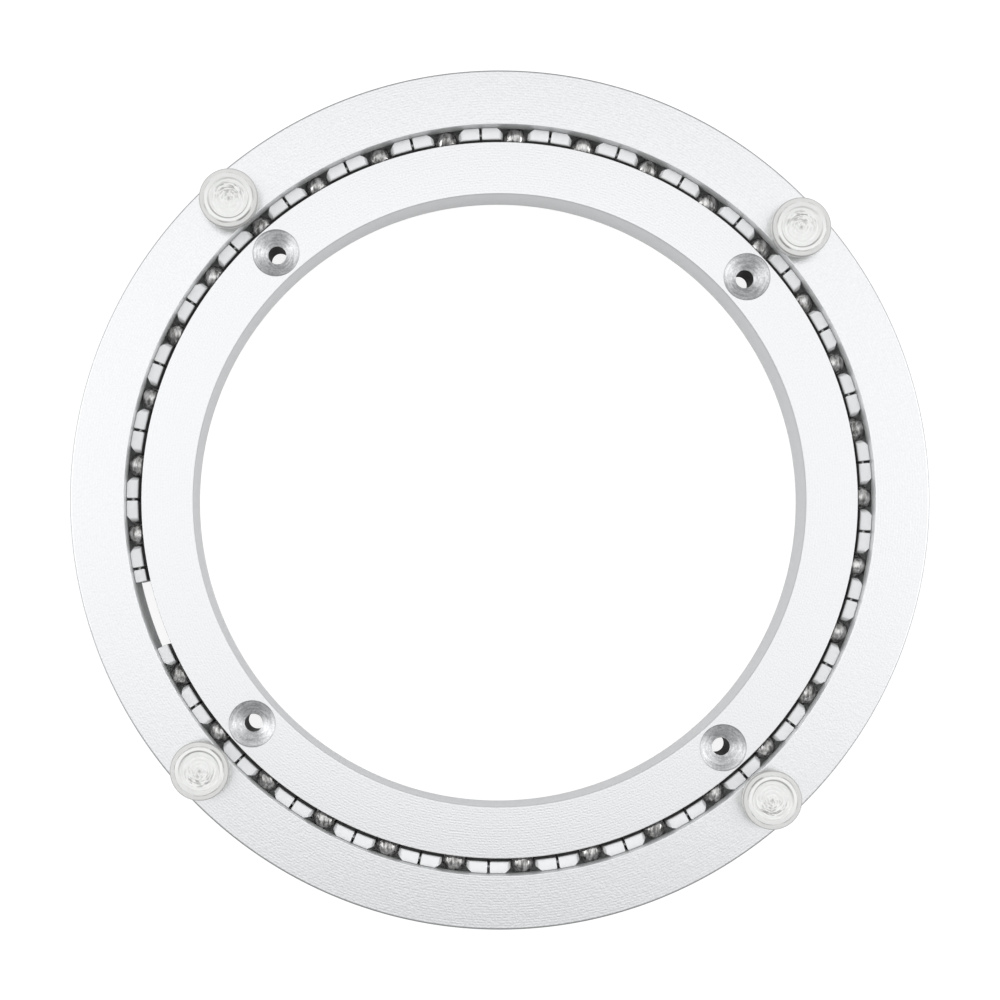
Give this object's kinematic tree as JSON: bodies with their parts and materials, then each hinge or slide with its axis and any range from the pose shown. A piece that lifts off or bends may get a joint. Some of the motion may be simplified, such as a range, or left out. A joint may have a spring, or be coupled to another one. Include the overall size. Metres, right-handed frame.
{
  "type": "lazy susan bearing",
  "caption": "Flat turntable bearing: a turned aluminium inner ring rolls on caged steel balls inside an outer ring with clear soft feet; countersunk holes take the turntable's screws.",
  "frame": {"origin": "centre of the inner ring's turntable face, on the turning axis, with the bearing lying feet up as in the picture", "axes": "+Z along the turning axis from the turntable face towards the feet; the feet and the screw holes lie at 45 degrees between X and Y"},
  "size_m": [0.2, 0.2, 0.0115],
  "materials": {
    "turned_aluminium": "fine concentric turning marks under clear anodising",
    "polished_steel": "polished",
    "white_nylon": "satin moulded",
    "clear_soft_plastic": "clear soft plastic, slightly milky"
  },
  "bodies": {
    "outer_ring": {"outer_ring": "turned_aluminium", "rubber_foot_1": "clear_soft_plastic", "rubber_foot_2": "clear_soft_plastic", "rubber_foot_3": "clear_soft_plastic", "rubber_foot_4": "clear_soft_plastic"},
    "inner_ring": {"inner_ring": "turned_aluminium"},
    "ball_cage": {"ball_cage": "white_nylon"},
    "ball_01": {"ball_01": "polished_steel"},
    "ball_02": {"ball_02": "polished_steel"},
    "ball_03": {"ball_03": "polished_steel"},
    "ball_04": {"ball_04": "polished_steel"},
    "ball_05": {"ball_05": "polished_steel"},
    "ball_06": {"ball_06": "polished_steel"},
    "ball_07": {"ball_07": "polished_steel"},
    "ball_08": {"ball_08": "polished_steel"},
    "ball_09": {"ball_09": "polished_steel"},
    "ball_10": {"ball_10": "polished_steel"},
    "ball_11": {"ball_11": "polished_steel"},
    "ball_12": {"ball_12": "polished_steel"},
    "ball_13": {"ball_13": "polished_steel"},
    "ball_14": {"ball_14": "polished_steel"},
    "ball_15": {"ball_15": "polished_steel"},
    "ball_16": {"ball_16": "polished_steel"},
    "ball_17": {"ball_17": "polished_steel"},
    "ball_18": {"ball_18": "polished_steel"},
    "ball_19": {"ball_19": "polished_steel"},
    "ball_20": {"ball_20": "polished_steel"},
    "ball_21": {"ball_21": "polished_steel"},
    "ball_22": {"ball_22": "polished_steel"},
    "ball_23": {"ball_23": "polished_steel"},
    "ball_24": {"ball_24": "polished_steel"},
    "ball_25": {"ball_25": "polished_steel"},
    "ball_26": {"ball_26": "polished_steel"},
    "ball_27": {"ball_27": "polished_steel"},
    "ball_28": {"ball_28": "polished_steel"},
    "ball_29": {"ball_29": "polished_steel"},
    "ball_30": {"ball_30": "polished_steel"},
    "ball_31": {"ball_31": "polished_steel"},
    "ball_32": {"ball_32": "polished_steel"}
  },
  "joints": [
    {"name": "turn", "type": "hinge", "parent": "outer_ring", "child": "inner_ring", "pos_m": [0, 0, 0.00375], "axis": [0, 0, 1], "continuous": true},
    {"name": "cage_orbit", "type": "hinge", "parent": "outer_ring", "child": "ball_cage", "pos_m": [0, 0, 0.00375], "axis": [0, 0, 1], "continuous": true},
    {"name": "ball_01_spin", "type": "hinge", "parent": "ball_cage", "child": "ball_01", "pos_m": [-0.0729, -0.04467, 0.00375], "axis": [0, 0, 1], "continuous": true},
    {"name": "ball_02_spin", "type": "hinge", "parent": "ball_cage", "child": "ball_02", "pos_m": [-0.06318, -0.05761, 0.00375], "axis": [0, 0, 1], "continuous": true},
    {"name": "ball_03_spin", "type": "hinge", "parent": "ball_cage", "child": "ball_03", "pos_m": [-0.0512, -0.06848, 0.00375], "axis": [0, 0, 1], "continuous": true},
    {"name": "ball_04_spin", "type": "hinge", "parent": "ball_cage", "child": "ball_04", "pos_m": [-0.03738, -0.0769, 0.00375], "axis": [0, 0, 1], "continuous": true},
    {"name": "ball_05_spin", "type": "hinge", "parent": "ball_cage", "child": "ball_05", "pos_m": [-0.02222, -0.08256, 0.00375], "axis": [0, 0, 1], "continuous": true},
    {"name": "ball_06_spin", "type": "hinge", "parent": "ball_cage", "child": "ball_06", "pos_m": [-0.00627, -0.08527, 0.00375], "axis": [0, 0, 1], "continuous": true},
    {"name": "ball_07_spin", "type": "hinge", "parent": "ball_cage", "child": "ball_07", "pos_m": [0.0099, -0.08492, 0.00375], "axis": [0, 0, 1], "continuous": true},
    {"name": "ball_08_spin", "type": "hinge", "parent": "ball_cage", "child": "ball_08", "pos_m": [0.02572, -0.08154, 0.00375], "axis": [0, 0, 1], "continuous": true},
    {"name": "ball_09_spin", "type": "hinge", "parent": "ball_cage", "child": "ball_09", "pos_m": [0.04062, -0.07523, 0.00375], "axis": [0, 0, 1], "continuous": true},
    {"name": "ball_10_spin", "type": "hinge", "parent": "ball_cage", "child": "ball_10", "pos_m": [0.05407, -0.06623, 0.00375], "axis": [0, 0, 1], "continuous": true},
    {"name": "ball_11_spin", "type": "hinge", "parent": "ball_cage", "child": "ball_11", "pos_m": [0.06558, -0.05486, 0.00375], "axis": [0, 0, 1], "continuous": true},
    {"name": "ball_12_spin", "type": "hinge", "parent": "ball_cage", "child": "ball_12", "pos_m": [0.07474, -0.04153, 0.00375], "axis": [0, 0, 1], "continuous": true},
    {"name": "ball_13_spin", "type": "hinge", "parent": "ball_cage", "child": "ball_13", "pos_m": [0.08122, -0.0267, 0.00375], "axis": [0, 0, 1], "continuous": true},
    {"name": "ball_14_spin", "type": "hinge", "parent": "ball_cage", "child": "ball_14", "pos_m": [0.0848, -0.01092, 0.00375], "axis": [0, 0, 1], "continuous": true},
    {"name": "ball_15_spin", "type": "hinge", "parent": "ball_cage", "child": "ball_15", "pos_m": [0.08534, 0.00525, 0.00375], "axis": [0, 0, 1], "continuous": true},
    {"name": "ball_16_spin", "type": "hinge", "parent": "ball_cage", "child": "ball_16", "pos_m": [0.08282, 0.02123, 0.00375], "axis": [0, 0, 1], "continuous": true},
    {"name": "ball_17_spin", "type": "hinge", "parent": "ball_cage", "child": "ball_17", "pos_m": [0.07734, 0.03645, 0.00375], "axis": [0, 0, 1], "continuous": true},
    {"name": "ball_18_spin", "type": "hinge", "parent": "ball_cage", "child": "ball_18", "pos_m": [0.06909, 0.05037, 0.00375], "axis": [0, 0, 1], "continuous": true},
    {"name": "ball_19_spin", "type": "hinge", "parent": "ball_cage", "child": "ball_19", "pos_m": [0.05836, 0.06248, 0.00375], "axis": [0, 0, 1], "continuous": true},
    {"name": "ball_20_spin", "type": "hinge", "parent": "ball_cage", "child": "ball_20", "pos_m": [0.04555, 0.07236, 0.00375], "axis": [0, 0, 1], "continuous": true},
    {"name": "ball_21_spin", "type": "hinge", "parent": "ball_cage", "child": "ball_21", "pos_m": [0.0311, 0.07964, 0.00375], "axis": [0, 0, 1], "continuous": true},
    {"name": "ball_22_spin", "type": "hinge", "parent": "ball_cage", "child": "ball_22", "pos_m": [0.01554, 0.08408, 0.00375], "axis": [0, 0, 1], "continuous": true},
    {"name": "ball_23_spin", "type": "hinge", "parent": "ball_cage", "child": "ball_23", "pos_m": [-0.00057, 0.0855, 0.00375], "axis": [0, 0, 1], "continuous": true},
    {"name": "ball_24_spin", "type": "hinge", "parent": "ball_cage", "child": "ball_24", "pos_m": [-0.01667, 0.08386, 0.00375], "axis": [0, 0, 1], "continuous": true},
    {"name": "ball_25_spin", "type": "hinge", "parent": "ball_cage", "child": "ball_25", "pos_m": [-0.03217, 0.07922, 0.00375], "axis": [0, 0, 1], "continuous": true},
    {"name": "ball_26_spin", "type": "hinge", "parent": "ball_cage", "child": "ball_26", "pos_m": [-0.04652, 0.07174, 0.00375], "axis": [0, 0, 1], "continuous": true},
    {"name": "ball_27_spin", "type": "hinge", "parent": "ball_cage", "child": "ball_27", "pos_m": [-0.0592, 0.06169, 0.00375], "axis": [0, 0, 1], "continuous": true},
    {"name": "ball_28_spin", "type": "hinge", "parent": "ball_cage", "child": "ball_28", "pos_m": [-0.06976, 0.04944, 0.00375], "axis": [0, 0, 1], "continuous": true},
    {"name": "ball_29_spin", "type": "hinge", "parent": "ball_cage", "child": "ball_29", "pos_m": [-0.07782, 0.03541, 0.00375], "axis": [0, 0, 1], "continuous": true},
    {"name": "ball_30_spin", "type": "hinge", "parent": "ball_cage", "child": "ball_30", "pos_m": [-0.0831, 0.02011, 0.00375], "axis": [0, 0, 1], "continuous": true},
    {"name": "ball_31_spin", "type": "hinge", "parent": "ball_cage", "child": "ball_31", "pos_m": [-0.0854, 0.0041, 0.00375], "axis": [0, 0, 1], "continuous": true},
    {"name": "ball_32_spin", "type": "hinge", "parent": "ball_cage", "child": "ball_32", "pos_m": [-0.08464, -0.01206, 0.00375], "axis": [0, 0, 1], "continuous": true}
  ],
  "couplings": [
    {"joint": "cage_orbit", "follows": "turn", "ratio": 0.48392},
    {"joint": "ball_01_spin", "follows": "turn", "ratio": -15.529},
    {"joint": "ball_02_spin", "follows": "turn", "ratio": -15.529},
    {"joint": "ball_03_spin", "follows": "turn", "ratio": -15.529},
    {"joint": "ball_04_spin", "follows": "turn", "ratio": -15.529},
    {"joint": "ball_05_spin", "follows": "turn", "ratio": -15.529},
    {"joint": "ball_06_spin", "follows": "turn", "ratio": -15.529},
    {"joint": "ball_07_spin", "follows": "turn", "ratio": -15.529},
    {"joint": "ball_08_spin", "follows": "turn", "ratio": -15.529},
    {"joint": "ball_09_spin", "follows": "turn", "ratio": -15.529},
    {"joint": "ball_10_spin", "follows": "turn", "ratio": -15.529},
    {"joint": "ball_11_spin", "follows": "turn", "ratio": -15.529},
    {"joint": "ball_12_spin", "follows": "turn", "ratio": -15.529},
    {"joint": "ball_13_spin", "follows": "turn", "ratio": -15.529},
    {"joint": "ball_14_spin", "follows": "turn", "ratio": -15.529},
    {"joint": "ball_15_spin", "follows": "turn", "ratio": -15.529},
    {"joint": "ball_16_spin", "follows": "turn", "ratio": -15.529},
    {"joint": "ball_17_spin", "follows": "turn", "ratio": -15.529},
    {"joint": "ball_18_spin", "follows": "turn", "ratio": -15.529},
    {"joint": "ball_19_spin", "follows": "turn", "ratio": -15.529},
    {"joint": "ball_20_spin", "follows": "turn", "ratio": -15.529},
    {"joint": "ball_21_spin", "follows": "turn", "ratio": -15.529},
    {"joint": "ball_22_spin", "follows": "turn", "ratio": -15.529},
    {"joint": "ball_23_spin", "follows": "turn", "ratio": -15.529},
    {"joint": "ball_24_spin", "follows": "turn", "ratio": -15.529},
    {"joint": "ball_25_spin", "follows": "turn", "ratio": -15.529},
    {"joint": "ball_26_spin", "follows": "turn", "ratio": -15.529},
    {"joint": "ball_27_spin", "follows": "turn", "ratio": -15.529},
    {"joint": "ball_28_spin", "follows": "turn", "ratio": -15.529},
    {"joint": "ball_29_spin", "follows": "turn", "ratio": -15.529},
    {"joint": "ball_30_spin", "follows": "turn", "ratio": -15.529},
    {"joint": "ball_31_spin", "follows": "turn", "ratio": -15.529},
    {"joint": "ball_32_spin", "follows": "turn", "ratio": -15.529}
  ]
}
